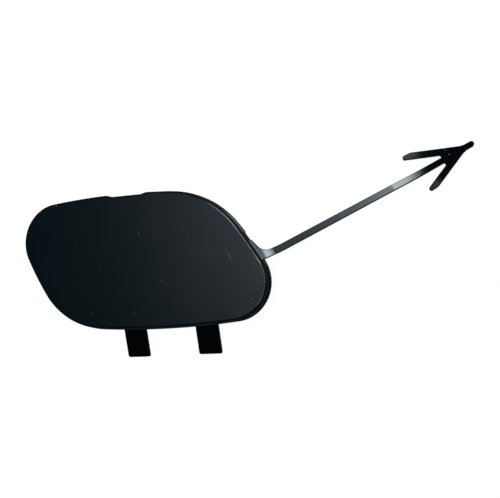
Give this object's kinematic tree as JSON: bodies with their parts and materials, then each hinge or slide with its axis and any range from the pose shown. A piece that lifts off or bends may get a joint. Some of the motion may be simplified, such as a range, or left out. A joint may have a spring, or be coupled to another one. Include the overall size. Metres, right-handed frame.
{
  "type": "bumper tow hook cover",
  "caption": "Clip-in bumper cover with a crowned parallelogram face, hook tabs along one edge, snap latches and a moulded tether that ends in an arrow.",
  "frame": {"origin": "on the plane of the rim that seats on the bumper, near the middle of the face", "axes": "+Z out of the face, away from the bumper; +X along the face towards the side that the tether leaves from; +Y towards the edge with the pry notch, away from the hook tabs"},
  "size_m": [0.1935, 0.0776, 0.0135],
  "materials": {
    "black_plastic": "smooth, slightly shiny bare black moulding with a very fine grain"
  },
  "bodies": {
    "root": {"tow_hook_cover": "black_plastic"}
  },
  "joints": []
}
